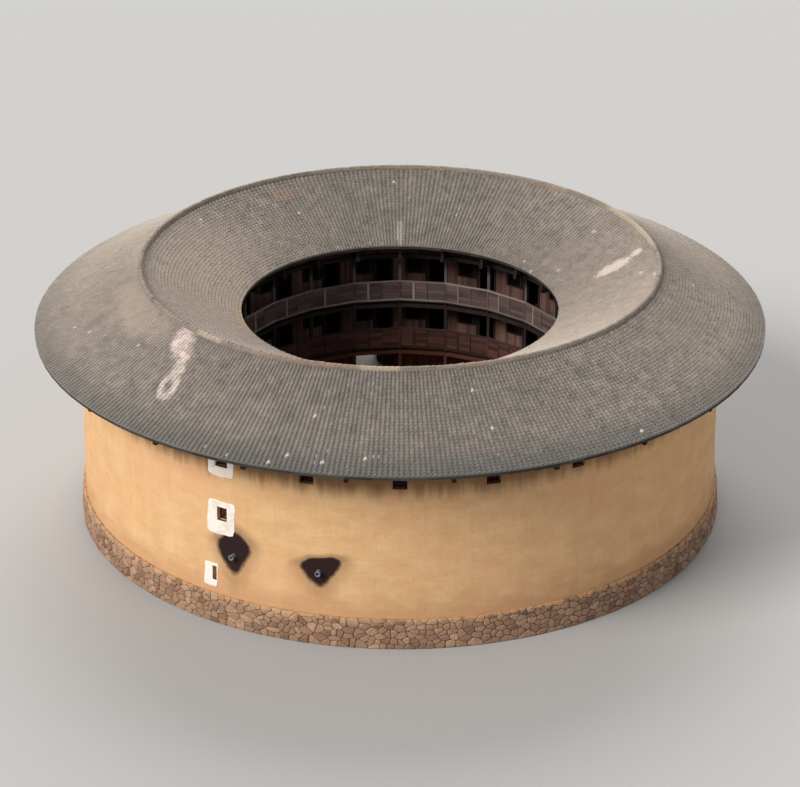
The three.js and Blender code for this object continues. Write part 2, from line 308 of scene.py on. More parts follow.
def soot_stain(sh, s, z, ragged, angle, widest, half, below, above, flat, lean, dip):
    """A stain that narrows to a tip below its widest height and arches above it. flat is the arch's power,
    lean its rise towards the right, and dip how far its top sinks in the middle."""
    along = sh.minus(s, WALL_ARC * angle)
    p = sh.math("ABSOLUTE", sh.over(along, half))
    z = sh.minus(z, sh.times(along, lean))
    up = sh.larger(sh.over(sh.minus(z, widest), above), 0.0)
    down = sh.larger(sh.over(sh.minus(widest, z), below), 0.0)
    total = sh.plus(sh.math("POWER", p, 1.4), sh.math("POWER", up, flat),
                    sh.times(sh.ramp(p, 0.6, 0.0, 0, dip), up), sh.math("POWER", down, 1.15), ragged)
    haze = sh.times(sh.ramp(total, 2.6, 1.0), sh.ramp(up, -0.4, 0.5, 0.15, 0.5))
    return sh.larger(sh.ramp(total, 1.4, 0.8), haze)


def soot(sh, s, z):
    """1 where soot from the two pipes has blackened the wall."""
    ragged = sh.swing(sh.noise(sh.vector(s, z), 1.8, 3), 0.5)
    left = soot_stain(sh, s, z, ragged, angle=PIPE_ANGLES["smoke_pipe_left"], widest=4.24, half=0.93,
                      below=1.34, above=0.93, flat=1.7, lean=0.05, dip=0.0)
    right = soot_stain(sh, s, z, ragged, angle=PIPE_ANGLES["smoke_pipe_right"] + 0.004, widest=4.2, half=1.0,
                       below=1.1, above=0.5, flat=2.4, lean=0.17, dip=0.5)
    return sh.larger(left, right)


def earth_material():
    """Rammed earth in faint lifts, with pebbles in it, painted shade under the eave, dirt at the foot, and
    soot.
    """
    sh = Shader("rammed_earth", roughness=0.95, specular=0.1)
    vector, s, _, z = sh.round_place(WALL_ARC)
    wall = sh.vector(s, z)
    wander = sh.times(sh.noise(wall, 0.5, 3), 0.5)
    lifts = sh.bricks(sh.vector(s, sh.plus(z, wander)), (3.1, 0.42), 0.02, 1.0,
                      ((0.4, 0.4, 0.4, 1), (0.6, 0.6, 0.6, 1)), (0.32, 0.32, 0.32, 1), 0.37)
    broad = sh.noise(wall, 0.22, 3)
    patches = sh.noise(sh.vector(s, sh.times(z, 1.8)), 0.7, 5.0)
    fine = sh.noise(vector, 9.0, 8, 0.75)
    streaks = sh.noise(sh.vector(sh.times(s, 2.2), sh.times(z, 0.2)), 1.0)
    worn = sh.ramp(sh.noise(wall, 0.9), 0.4, 0.6, 0.1, 1.0)
    grit = sh.node("TexVoronoi", {"Vector": vector, "Scale": 6.0}).outputs
    chosen = sh.ramp(sh.node("SeparateColor", {0: grit["Color"]}).outputs[0], 0.55, 0.6)
    pebbles = sh.times(sh.ramp(grit["Distance"], 0.22, 0.12), chosen)
    # Painted shade under the eave: darker towards the wall's top, with a streaked edge
    painted_eave_shade = sh.plus(z, sh.swing(streaks, 1.4))
    foot_dirt = sh.plus(z, sh.swing(patches, 1.6))

    colour = sh.layers(
        sh.mix(sh.ramp(patches, 0.3, 0.7), (219, 174, 126), (228, 188, 140)),
        (broad, 0.45, 0.68, 0.6, (227, 174, 130)),
        (streaks, 0.52, 0.78, 0.3, (236, 203, 158)),
        (streaks, 0.46, 0.25, 0.22, (196, 146, 100)),
        (fine, 0.75, 0.3, 0.1, (150, 104, 66)))
    colour = sh.layers(
        sh.mix(sh.times(worn, 0.08), colour, lifts["Color"], "OVERLAY"),
        (pebbles, 0.35, (186, 152, 116)),
        # Painted shade under the eave
        (painted_eave_shade, 7.72, 8.85, 0.87, (122, 86, 58)),
        (foot_dirt, 3.1, 1.7, 0.5, (190, 142, 104)),
        (soot(sh, s, z), 0.98, (32, 20, 27)))
    height = sh.plus(sh.times(fine, 0.5), sh.times(patches, 0.8), sh.times(pebbles, 0.2),
                     sh.times(lifts["Fac"], worn, -0.3))
    return sh.finish(colour, height, 0.03, 0.8)


def plaster_material():
    """White plaster, brushed on by hand, with dirt washed over it."""
    sh = Shader("white_plaster", roughness=0.85, specular=0.15)
    vector, *_ = sh.place()
    dirt = sh.noise(vector, 2.2, 6, 0.7)
    brushed = sh.noise(vector, 14.0, 6, 0.7)
    colour = sh.layers((242, 235, 226), (dirt, 0.42, 0.75, 0.6, (208, 182, 154)),
                       (brushed, 0.55, 0.75, 0.3, (206, 198, 190)))
    return sh.finish(colour, brushed, 0.02, 0.7)


def stone_material(name, dark, light, warm, washed=None):
    """Stone, mortar or clay. From the height washed up it has a skin of earth."""
    sh = Shader(name, roughness=0.88, specular=0.2)
    vector, _, _, z = sh.place()
    grain = sh.noise(vector, 12.0, 6, 0.7)
    blotch = sh.noise(vector, 2.5, 3)
    colour = sh.layers(sh.mix(sh.shade(), dark, light), (blotch, 0.45, 0.7, 0.7, warm),
                       (grain, 0.7, 0.35, 0.3, (70, 58, 50)))
    if washed is not None:
        level = sh.plus(z, sh.swing(blotch, 1.6))
        colour = sh.layers(colour, (level, washed, washed + 0.5, 0.7, (206, 164, 122)))
    return sh.finish(colour, sh.plus(grain, blotch), 0.02, 0.8)


def slab_material():
    """Worn stone slabs laid round the courtyard."""
    sh = Shader("platform_slabs", roughness=0.85, specular=0.2)
    vector, s, r, _ = sh.round_place(SLAB_ARC)
    slabs = sh.bricks(sh.vector(s, r), (1.15, 0.56), 0.012, 0.6,
                      ((116, 110, 102), (150, 143, 132)), (62, 56, 50), 0.43)
    grain = sh.noise(vector, 12.0, 6, 0.7)
    blotch = sh.noise(vector, 0.9)
    colour = sh.layers(slabs["Color"], (blotch, 0.42, 0.7, 0.5, (104, 97, 86)),
                       (grain, 0.7, 0.35, 0.3, (74, 66, 58)))
    height = sh.plus(sh.times(slabs["Fac"], -1.0), sh.times(grain, 0.4))
    return sh.finish(colour, height, 0.012, 0.8)


def tile_material():
    """Grey tiles that differ one by one, with painted light where a slope falls to the back, and painted
    shade with damp where it falls to the front.
    """
    sh = Shader("roof_tile", roughness=0.9, specular=0.2)
    sh.bsdf.inputs["Sheen Weight"].default_value = 0.25
    sh.bsdf.inputs["Sheen Roughness"].default_value = 0.6
    vector, s, r, _ = sh.round_place(ROOF_ARC)
    y = sh.place()[2]
    shade = sh.shade()
    broad = sh.noise(sh.vector(s, r), 0.22)
    mottle = sh.noise(vector, 1.5)
    lichen = sh.noise(vector, 2.6, 6, 0.7)
    streaks = sh.noise(sh.vector(sh.times(s, 2.4), sh.times(r, 0.3)), 1.0)
    grain = sh.noise(vector, 25.0, 4, 0.7)
    # 1 where a slope falls towards the back, -1 where it falls to the front
    away = sh.over(sh.times(y, sh.math("SIGN", sh.minus(r, RIDGE[0]))), r)
    # Painted light: paler where a slope falls towards the back
    painted_back_light = sh.math("MULTIPLY_ADD", away, 0.5, 0.5)
    # Darker near the outer eave where a slope falls to the front: painted shade, and damp
    front_eave_shade_and_damp = sh.times(sh.ramp(r, 16.8, 18.7), sh.minus(1.0, painted_back_light))
    red_row = sh.blob(s, r, (2.8, 17.65), (2.9, 0.13), sh.swing(grain, 3.0), 0.8)
    rusty = sh.blob(s, r, (-39.2, 12.3), (0.9, 0.4), sh.minus(mottle, 0.5), 0.6)

    colour = sh.layers(
        sh.mix(shade, (88, 82, 76), (146, 136, 126)),
        (broad, 0.4, 0.65, 0.4, (134, 122, 111)),
        (streaks, 0.5, 0.72, 0.4, (102, 97, 91)),
        (mottle, 0.53, 0.66, 0.5, (152, 142, 132)),
        (mottle, 0.46, 0.34, 0.55, (82, 80, 74)),
        (lichen, 0.58, 0.72, 0.45, (168, 158, 146)),
        # Painted light on slopes that fall towards the back
        (painted_back_light, 0.6, (190, 175, 160)),
        (red_row, 0.45, (150, 116, 104)),
        (rusty, 0.35, (158, 112, 102)),
        # Painted shade where a slope falls towards the front
        (away, -0.75, -1.0, 0.28, (92, 88, 82)),
        # Painted shade and damp near the outer eave, at the front
        (front_eave_shade_and_damp, 0.72, (78, 78, 75)),
        # Painted light on stretches of some slopes, and a sandy stretch by the inner eave
        *painted_light_and_sand(sh, s, r, broad, grain),
        # The odd tiles, pale or red
        (shade, 0.97, 0.985, 1.0, (186, 176, 162)),
        (shade, 0.02, 0.008, 0.6, (142, 104, 88)),
        *repairs(sh, vector, s, r, lichen))
    return sh.finish(colour, sh.plus(grain, lichen), 0.012, 0.6)


def painted_light_and_sand(sh, s, r, broad, grain):
    """Layers for stretches of painted light on the inner-left and outer-right slopes and by the ridge, and
    for a sandy one by the inner eave.
    """
    inner_left = sh.blob(s, r, (-23.6, 10.6), (10.0, 2.8), 0.0, 0.9)
    outer_right = sh.blob(s, r, (35.3, 16.4), (9.0, 2.8), 0.0, 0.9)
    by_ridge = sh.blob(s, r, (-17.5, 14.1), (3.6, 0.9), sh.minus(broad, 0.5), 0.9)
    sandy = sh.blob(s, r, (-19.9, 8.2), (3.2, 0.3), sh.minus(grain, 0.5), 0.8)
    # Painted light on these stretches; the sandy one is the tiles' own colour
    return ((sh.larger(inner_left, outer_right, by_ridge), 0.3, (196, 178, 160)),
            (sandy, 0.4, (186, 160, 126)))


def repairs(sh, vector, s, r, lichen):
    """Layers for a looped streak and a patch of mortar on the outer slope, and streaks on the inner one."""
    rough = sh.swing(sh.noise(vector, 2.4, 6, 0.85), 4.5)
    spotted = sh.ramp(lichen, 0.4, 0.6, 0.5, 1.0)
    across = sh.minus(s, sh.times(sh.minus(r, ROOF_ARC), 0.9))
    down = sh.plus(r, sh.times(across, 0.3))
    leaning = sh.plus(across, sh.times(down, 0.6))
    patch = sh.times(sh.blob(across, down, (-11.75, 10.5), (0.85, 0.78), rough, 0.5), spotted,
                     sh.ramp(across, -10.8, -11.9, 0.4, 1.0))
    neck = sh.blob(leaning, down, (-4.85, 11.55), (0.42, 0.65), rough, 0.5)
    ring = sh.plus(sh.ellipse(leaning, down, (-4.95, 12.38), (0.5, 0.54)), sh.times(rough, 0.45))
    loop = sh.times(sh.ramp(ring, 0.05, 0.6), sh.ramp(ring, 2.0, 1.1))

    long_streak = sh.blob(s, r, (25.85, 11.2), (0.62, 0.9), rough, 0.5)
    short_streak = sh.blob(s, r, (26.1, 12.45), (0.35, 0.3), rough, 0.5)
    back_streak = sh.blob(sh.math("ABSOLUTE", s), r, (47.12, 9.0), (0.3, 0.9), rough, 0.5)
    streaks = sh.larger(sh.times(sh.larger(long_streak, short_streak), 0.85), sh.times(back_streak, 0.3))
    return ((sh.times(sh.larger(neck, loop), spotted), 0.85, (214, 202, 190)),
            (patch, 1.0, (224, 204, 197)), (streaks, 1.0, (208, 192, 180)))


def ridge_material():
    """Mortar and half-round tiles along the ridge, with paler and redder lengths."""
    sh = Shader("ridge_mortar", roughness=0.9, specular=0.2)
    vector, s, _, _ = sh.round_place(RIDGE[0])
    grain = sh.noise(vector, 14.0, 6, 0.7)
    lengths = sh.noise(sh.vector(s), 0.35, 3, 0.7)
    uneven = sh.minus(grain, 0.5)

    def stretch(middle, half):
        return sh.blob(s, 0.0, (middle, 0.0), (half, 1.0), uneven, 0.4)

    colour = sh.layers(
        sh.mix(sh.shade(), (122, 112, 102), (162, 149, 136)),
        (lengths, 0.5, 0.62, 0.6, (168, 148, 130)),
        (lengths, 0.44, 0.34, 0.6, (106, 97, 90)),
        (stretch(-4.6, 2.6), 0.4, (146, 116, 102)),
        (sh.larger(stretch(-0.95, 0.95), stretch(-10.1, 0.8), stretch(25.6, 2.9)), 0.6, (196, 182, 160)),
        (grain, 0.7, 0.35, 0.35, (78, 70, 64)))
    return sh.finish(colour, grain, 0.02, 0.8)


def timber_material(name, dark, light, grey, way="up", shade_and_smoke_from=None):
    """Old wood with its grain up or round the house. From a given height up it is darkened: painted shade
    under the roof, and smoke.
    """
    sh = Shader(name, roughness=0.8, specular=0.2)
    vector, s, r, z = sh.round_place(TIMBER_ARC)
    across, along = (z, s) if way == "round" else (s, z)
    grain = sh.noise(sh.vector(sh.times(across, 9.0), sh.times(along, 0.7), r), 1.6, 6, 0.65)
    blotch = sh.noise(vector, 1.4)
    colour = sh.layers(sh.mix(sh.shade(), dark, light), (grain, 0.5, 0.75, 0.5, dark),
                       (blotch, 0.45, 0.75, 0.6, grey))
    # Painted shade under the roof, with smoke: darker from that height up
    if shade_and_smoke_from is not None:
        colour = sh.layers(colour, (z, shade_and_smoke_from, shade_and_smoke_from + 0.5, 0.9, (30, 25, 24)))
    return sh.finish(colour, grain, 0.006, 0.7)


WASHED = 1.15  # from this height up the plinth has a skin of earth

EARTH = earth_material()
PLASTER = plaster_material()
RUBBLE = stone_material("rubble_stone", (126, 98, 81), (196, 162, 133), (172, 123, 100), WASHED)
BEDDING = stone_material("rubble_bedding", (122, 93, 70), (152, 118, 88), (134, 98, 72), WASHED)
GRANITE = stone_material("granite", (128, 124, 116), (168, 162, 152), (140, 130, 118))
SLABS = slab_material()
TILE = tile_material()
MORTAR = ridge_material()
DARK = timber_material("dark_timber", (40, 29, 25), (70, 52, 44), (56, 48, 45))
PLANK = timber_material("room_front_plank", (90, 64, 57), (134, 100, 91), (106, 88, 84))
RED = timber_material("red_timber", (84, 45, 35), (126, 72, 56), (92, 62, 53))
PALE = timber_material("pale_timber", (104, 92, 88), (150, 136, 132), (126, 118, 118), "round")
PANEL = timber_material("railing_board", (66, 52, 49), (104, 86, 81), (90, 79, 78), "round")
BALUSTER = timber_material("red_railing_board", (54, 31, 27), (92, 57, 49), (72, 50, 46), "round")
# The posts' tops under the roof are darkened: painted shade, and smoke
LILAC = timber_material("weathered_post", (84, 74, 76), (124, 112, 116), (104, 98, 104), shade_and_smoke_from=8.8)
# Dark grey timber, kept dark as painted shade along the eave's edge
FASCIA = timber_material("eave_board", (46, 44, 42), (72, 69, 65), (60, 60, 60), "round")
RAFTER = timber_material("rafter_wood", (58, 46, 38), (92, 76, 64), (74, 65, 59))
CLAY = stone_material("clay_pipe", (128, 126, 134), (172, 170, 178), (106, 100, 106))


def dress_cad_nodes():
    """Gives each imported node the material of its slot, or one of its own."""
    by_slot = {"rammed_earth": EARTH, "rubble_stone": BEDDING, "granite": GRANITE, "dark_timber": DARK,
               "pale_timber": PALE, "roof_tile": TILE, "clay_pipe": CLAY}
    own = {"gallery_posts_ground": RED, "room_front_ground": RED, "gallery_posts_third": LILAC,
           "ground_floor_platform": SLABS}
    for part in frame["record"]["subparts"]:
        node = frame["nodes"][part["node"]]
        node.data.materials.clear()
        node.data.materials.append(own.get(node.name, by_slot[part["material_slot"]]))


# Roof
COURSE = 0.19  # how much of each tile shows
# Points across a column: the share of its width, and how high the cover tile rises there
COVER_SHARE = [(0.0, 0.0), (0.20, 0.020), (0.31, 0.058), (0.50, 0.075), (0.69, 0.058), (0.80, 0.020)]
TILE_THICK = 0.022
# How far things lie below the roof's outline: trough tiles, the tiles' underside, boards and rafters
TROUGH, TILE_BED, BOARD_TOP, RAFTER_TOP = 0.065, 0.0935, 0.095, 0.122
BOARD_THICK = 0.025
RAFTER_DEEP, RAFTER_HALF = 0.15, 0.045
PALE_SHARE, RED_SHARE = 0.001, 0.003  # how many tiles are odd ones
# Where more tiles are pale, left of the front: shares of the way round, courses and share of the tiles
MENDED_ARC, MENDED_COURSES, MENDED_SHARE = (0.91, 0.995), slice(1, 9), 0.015


def roof_height(t, eave):
    """The height of the roof's outline at a share of the way from the eave to the ridge."""
    return eave[1] + t * (RIDGE[1] - eave[1]) - 4 * SAG * t * (1 - t)


def tile_shades(side, courses, columns):
    """A shade for each trough and cover tile."""
    shades = np.clip(rng.normal(0.5, 0.13, (courses, columns, 2)), 0.05, 0.95)
    odd = rng.random((courses, columns, 2))
    shades = np.where(odd > 1 - PALE_SHARE, 1.0, np.where(odd < RED_SHARE, 0.0, shades))
    if side == "outer":
        first, last = [round(share * columns) for share in MENDED_ARC]
        mended = shades[MENDED_COURSES, first:last]
        mended[rng.random(mended.shape) > 1 - MENDED_SHARE] = 1.0
    return shades


def tiled_slope(side, eave, columns):
    """One slope in four closed quarters. A column is a row of trough tiles and one of round cover tiles."""
    run, climb = RIDGE[0] - eave[0], RIDGE[1] - eave[1]
    courses = round(math.hypot(run, climb) / COURSE)
    parts = len(COVER_SHARE)
    share, rise = np.array(COVER_SHARE).T
    is_cover = rise > 0
    slip = rng.normal(0, 0.012, (courses, columns, 2))  # each tile's lift at its lower edge: trough, cover
    sway = rng.normal(0, 0.007, (courses, columns))
    shades = tile_shades(side, courses, columns)

    # Row 0 closes the lowest course from below, and rows 2k + 1 and 2k + 2 are course k's two edges
    rows = np.arange(2 * courses + 1)
    t = np.repeat(np.arange(courses + 1), 2)[:-1] / courses
    course_of_row = (rows - 1).clip(0) // 2
    is_lower = rows % 2 == 1
    radius = eave[0] + t * run
    base = roof_height(t, eave) - TROUGH
    lift = np.where(is_cover, slip[course_of_row][:, :, 1:], slip[course_of_row][:, :, :1])
    lift = (TILE_THICK + np.abs(lift) * 0.8) * is_lower[:, None, None]
    height = base[:, None, None] + rise + lift
    height[0] = base[0] - TILE_THICK + 0.3 * rise
    angle = (np.arange(columns)[:, None] + share) * (2 * math.pi / columns)
    swayed = angle + sway[course_of_row][:, :, None] * is_cover / radius[:, None, None]
    points = polar(radius[:, None, None], swayed, height).reshape(len(rows), columns * parts, 3)
    steps = np.linspace(0, 1, 5)[:, None]
    under = polar(eave[0] + steps * run, angle.reshape(1, -1), roof_height(steps, eave) - TILE_BED)

    # The last face of each column is its trough tile, and the others are the cover tile
    shades = shades[course_of_row[1:]][:, :, [1] * (parts - 1) + [0]].reshape(len(rows) - 1, -1)
    per_quarter = columns * parts // 4
    for i, where in enumerate(QUARTERS):
        first = i * per_quarter - per_quarter // 2
        picked = np.arange(first, first + per_quarter + 1) % (columns * parts)
        block = np.concatenate([points[:, picked], under[:, picked]])
        closing = slab_faces(len(rows), len(steps), len(picked))
        faces = grid_faces(len(rows), len(picked)).tolist() + closing
        if side == "inner":
            faces = [face[::-1] for face in faces]
        tones = np.concatenate([shades[:, picked[:-1]].ravel(), np.full(len(closing), 0.4)])
        piece(f"roof_tiles_{side}_{where}", block, faces, tones, TILE, "roof_tile", [f"roof_{side}_{where}"])


def roof_boards(side, eave):
    """Boards under the tiles, from just inside the eave to just short of the ridge."""
    t = np.linspace(0.004, 0.99, 5)[:, None]
    r, z = eave[0] + t * (RIDGE[0] - eave[0]), roof_height(t, eave) - BOARD_TOP
    r, z = np.vstack([r, r[::-1]]), np.vstack([z - BOARD_THICK, z[::-1]])
    if side == "outer":
        r, z = r[::-1], z[::-1]
    points, faces = closed_grid(r, full_turn(8 * BAYS), z)
    piece(f"roof_boards_{side}", points, faces, 0.4, RAFTER, "dark_timber")


def rafters(side, eave, uphill, count):
    """Rafters from the eave to half way up. uphill is 1 where the ridge is farther out, otherwise -1."""
    ends = np.sort([eave[0] + uphill * 0.05, (eave[0] + RIDGE[0]) / 2])
    tops = roof_height((ends - eave[0]) / (RIDGE[0] - eave[0]), eave) - RAFTER_TOP
    bars = Soup()
    for k in range(count):
        angle = (k + 0.5) * 2 * math.pi / count
        bars.bar(angle, ends, (-RAFTER_HALF, RAFTER_HALF), tops - RAFTER_DEEP, tops)
    bars.make(f"rafters_{side}", RAFTER, "dark_timber")


def eave_boards(side, eave, uphill):
    """A row of boards on the rafters' ends, four to a bay."""
    turn = BAY / 4
    r = eave[0] + uphill * 0.035
    half = r * math.tan(turn / 2) - 0.004
    thick, top, foot = 0.028, 0.10, 0.24
    boards = Soup()
    for k in range(4 * BAYS):
        edge = eave[1] + rng.normal(0, 0.006)
        boards.bar((k + 0.5) * turn, (r - thick / 2, r + thick / 2), (-half, half), edge - foot, edge - top)
    boards.make(f"eave_boards_{side}", FASCIA, "dark_timber")


def ridge_band():
    """The mortar band along the ridge."""
    count = 16 * BAYS
    outline = np.array([(-0.15, -0.12), (0.15, -0.12), (0.14, 0), (0.08, 0.04), (-0.08, 0.04), (-0.14, 0)])
    wobble = rng.normal(0, 0.008, (len(outline), count))
    radius = RIDGE[0] + outline[:, :1] + wobble
    height = RIDGE[1] + outline[:, 1:] + wobble[::-1]
    points, faces = closed_grid(radius, full_turn(count), height)
    piece("ridge_mortar", points, faces, 0.5, MORTAR, "roof_tile", ["roof_ridge_cap"])


def ridge_tiles():
    """Round tiles laid along the mortar band, each wider and higher at its far end."""
    count = 300
    arch = np.array([(-0.1, 0.015), (-0.08, 0.075), (0.0, 0.105), (0.08, 0.075), (0.1, 0.015)])
    turn = np.repeat(np.arange(count + 1), 2)[1:-1] * (2 * math.pi / count)
    raised = np.tile([0.0, 0.018], count)[:, None]
    wobble = np.repeat(rng.normal(0, 0.006, count), 2)[:, None]
    radius = RIDGE[0] + arch[:, 0] * (1 + raised * 4)
    height = RIDGE[1] + arch[:, 1] + (raised + wobble)
    points, faces = closed_grid(radius, turn[:, None], height)
    shades = np.repeat(rng.normal(0.6, 0.15, count), 2 * len(arch))
    piece("ridge_tiles", points, faces, shades, MORTAR, "roof_tile")


# Wall
ROOF_DEEP = 0.29  # the wall ends this far below the roof's outline
WALL_STEPS = 12  # columns of faces in each bay
WALL_LENGTHS = (("back_left", 4), ("left", 4), ("front", 5), ("right_1", 2), ("right_2", 2),
                ("back_right_1", 3), ("back_right_2", 2))  # bays, on from the gate's bay
# From a surround's outline to the hole: the share of the way, and how far it stands proud
SURROUND_PROFILE = [(0, -0.02), (0, 0.018), (0.25, 0.03), (0.5, 0.03), (0.75, 0.03), (1, 0.028), (1, -0.10)]


def roof_under(r):
    """The height at which the wall ends under the outer slope."""
    t = (r - OUTER_EAVE[0]) / (RIDGE[0] - OUTER_EAVE[0])
    return roof_height(t, OUTER_EAVE) - ROOF_DEEP


def wall_radius(z):
    """The outer radius of the wall, which leans in."""
    share = (z - PLINTH_TOP) / (roof_under(BATTER_HEAD) - PLINTH_TOP)
    return BATTER_FOOT + share * (BATTER_HEAD - BATTER_FOOT)


def angle_gap(a, b):
    """a - b, brought between -pi and pi."""
    return (a - b + math.pi) % (2 * math.pi) - math.pi


def wall_holes():
    """Each hole as its angle, half its angle's width, and its lowest and highest point."""
    holes = [(k * BAY, THIRD_WINDOW) for k in range(BAYS)]
    holes += [(k * BAY, SECOND_WINDOW) for k in SECOND_WINDOW_BAYS]
    holes += [(SLIT_ANGLE, SLIT), (GATE_ANGLE, {"half": GATE_HALF, "low": 0.0, "high": GATE_TOP})]
    return [(angle, hole["half"] / WALL_ARC, hole["low"], hole["high"]) for angle, hole in holes]


def wall_grid(start, end, holes):
    """Angles and heights of the points on a length of wall, with lines along the edges of its holes."""
    top, step = 10.9, 0.45
    near_angle, near_height = 0.004, 0.1  # a line this near to a hole's edge is left out
    count = round((end - start) / BAY * WALL_STEPS) + 1
    angles = [start + i * BAY / WALL_STEPS for i in range(count)]
    heights = list(np.arange(PLINTH_TOP, top, step))
    middle = (start + end) / 2
    for centre, half, low, high in holes:
        at = middle + angle_gap(centre, middle)
        angles = [a for a in angles if abs(abs(a - at) - half) > near_angle] + [at - half, at + half]
        heights = [z for z in heights if min(abs(z - low), abs(z - high)) > near_height]
        heights += [z for z in (low, high) if z > PLINTH_TOP]
    return np.unique(angles), np.unique(np.round(heights, 4))


def pierced_faces(solid):
    """The faces of an outer and an inner grid of points where solid is true, joined along every edge."""
    rows, columns = solid.shape
    padded = np.pad(solid, 1)

    def corner(layer, i, j):
        return (layer * (rows + 1) + i) * (columns + 1) + j

    faces = []
    for i, j in zip(*np.nonzero(solid)):
        loop = [(i, j), (i, j + 1), (i + 1, j + 1), (i + 1, j)]
        faces.append([corner(0, *c) for c in loop])
        faces.append([corner(1, *c) for c in loop[::-1]])
        beside = padded[[i, i + 1, i + 2, i + 1], [j + 1, j + 2, j + 1, j]]
        for p, q, joined in zip(loop, loop[1:] + loop[:1], beside):
            if not joined:
                faces.append([corner(0, *q), corner(0, *p), corner(1, *p), corner(1, *q)])
    return faces


def wall_piece(name, start, end, replaces):
    """A length of earth wall with its holes cut through, closed all round."""
    face_top = 11.2  # about where the outer face meets the roof
    middle = (start + end) / 2
    holes = [hole for hole in wall_holes() if abs(angle_gap(hole[0], middle)) < (end - start) / 2]
    angles, heights = wall_grid(start, end, holes)
    a, z = np.meshgrid(angles, heights)
    bulge = waves(a, z)
    bulge[[0, -1]] *= 0.3
    is_top = z >= heights[-1]
    outer = polar(wall_radius(z) + bulge, a, np.where(is_top, roof_under(wall_radius(face_top)), z))
    inner = polar(WALL_INNER, a, np.where(is_top, roof_under(WALL_INNER), z))
    mid_a, mid_z = (angles[1:] + angles[:-1]) / 2, (heights[1:] + heights[:-1]) / 2
    solid = np.ones((len(mid_z), len(mid_a)), bool)
    for centre, half, low, high in holes:
        inside = np.abs(angle_gap(mid_a, centre)) < half
        solid[np.outer((mid_z > low) & (mid_z < high), inside)] = False
    piece(name, [outer, inner], pierced_faces(solid), 0.5, EARTH, "rammed_earth", replaces)


def walls():
    """The gate's bay and seven other lengths of wall, as the solids are cut."""
    start = (GATE_BAY - 0.5) * BAY
    wall_piece("wall_gate_bay", start, start + BAY,
               ["earth_wall_over_gate", "earth_wall_gate_side_1", "earth_wall_gate_side_2"])
    start += BAY
    for where, bays in WALL_LENGTHS:
        wall_piece(f"wall_{where}", start, start + bays * BAY, [f"earth_wall_{where}"])
        start += bays * BAY


def on_wall(s, z, proud):
    """Points on the wall's face, s metres round from the front, standing proud by so much."""
    angle = s / WALL_ARC
    return polar(wall_radius(z) + waves(angle, z) + proud, angle, z)


def plaster_surround(soup, angle, hole):
    """A hand-laid white surround: a thin closed ring round a hole, with a wavering outline."""
    low, high, left, right = hole["surround"]
    s0 = angle * WALL_ARC
    count = 48
    turn = full_turn(count)
    square = np.maximum(np.abs(np.cos(turn)), np.abs(np.sin(turn)))
    u, v = np.cos(turn) / square, np.sin(turn) / square
    ragged = 1 + 0.02 * np.sin(5 * turn + s0) + rng.normal(0, 0.012, count)
    blunted = 1 - 0.07 * (np.abs(u * v)) ** 8  # takes off the corners
    outer_s = s0 + (right - left) / 2 + u * (left + right) / 2 * ragged * blunted + 0.05 * v
    outer_z = (low + high) / 2 + v * (high - low) / 2 * ragged * blunted
    inner_s = s0 + u * hole["half"]
    inner_z = (hole["low"] + hole["high"]) / 2 + v * (hole["high"] - hole["low"]) / 2
    share, proud = np.array(SURROUND_PROFILE).T[:, :, None]
    s, z = outer_s + (inner_s - outer_s) * share, outer_z + (inner_z - outer_z) * share
    soup.add(on_wall(s, z, proud).reshape(-1, 3), grid_faces(*s.shape, True, True))


def plaster():
    """White surrounds of each second-storey window, the window above it, and the slit."""
    soup = Soup()
    for k in SECOND_WINDOW_BAYS:
        angle = angle_gap(k * BAY, 0.0)
        plaster_surround(soup, angle, SECOND_WINDOW)
        plaster_surround(soup, angle, THIRD_WINDOW)
    plaster_surround(soup, SLIT_ANGLE, SLIT)
    soup.make("window_surrounds", PLASTER, "rammed_earth")


def window_frames():
    """Timber frames with upright bars, set back in the holes, and a lintel over each."""
    set_back, deep, wide, clearance = 0.30, 0.07, 0.055, 0.002
    bar_half, lintel_reach, lintel_tall = 0.015, 0.15, 0.09
    soup = Soup()
    windows = [(k * BAY, THIRD_WINDOW, 3) for k in range(BAYS)]
    windows += [(k * BAY, SECOND_WINDOW, 2) for k in SECOND_WINDOW_BAYS]
    for angle, hole, bars in windows:
        r = wall_radius((hole["low"] + hole["high"]) / 2) - set_back
        half, low, high = hole["half"] - clearance, hole["low"] + clearance, hole["high"] - clearance
        inside = half - wide
        for t in ((-half, -inside), (inside, half)):
            soup.bar(angle, (r, r + deep), t, low, high)
        for z in ((low, low + wide), (high - wide, high)):
            soup.bar(angle, (r, r + deep), (-inside, inside), *z)
        for i in range(bars):
            t = (i + 1) / (bars + 1) * 2 * inside - inside
            soup.bar(angle, (r + 0.02, r + 0.05), (t - bar_half, t + bar_half), low + wide, high - wide)
        lintel = (r - 0.25, wall_radius(high) - 0.02)
        soup.bar(angle, lintel, (-half - lintel_reach, half + lintel_reach), high, high + lintel_tall)
    soup.make("window_frames", DARK, "dark_timber")


# Plinth
def plinth_radius(z):
    """The outer radius of the plinth, which leans in."""
    return PLINTH_FOOT + (PLINTH_HEAD - PLINTH_FOOT) * z / PLINTH_TOP


def clip(polygon, point, normal):
    """The part of a convex polygon on the side of the line that its normal points away from."""
    side = (polygon - point) @ normal
    kept = []
    for i in range(len(polygon)):
        j = (i + 1) % len(polygon)
        if side[i] <= 0:
            kept.append(polygon[i])
        if (side[i] < 0) != (side[j] < 0):
            kept.append(polygon[i] + (polygon[j] - polygon[i]) * side[i] / (side[i] - side[j]))
    return np.array(kept).reshape(-1, 2)


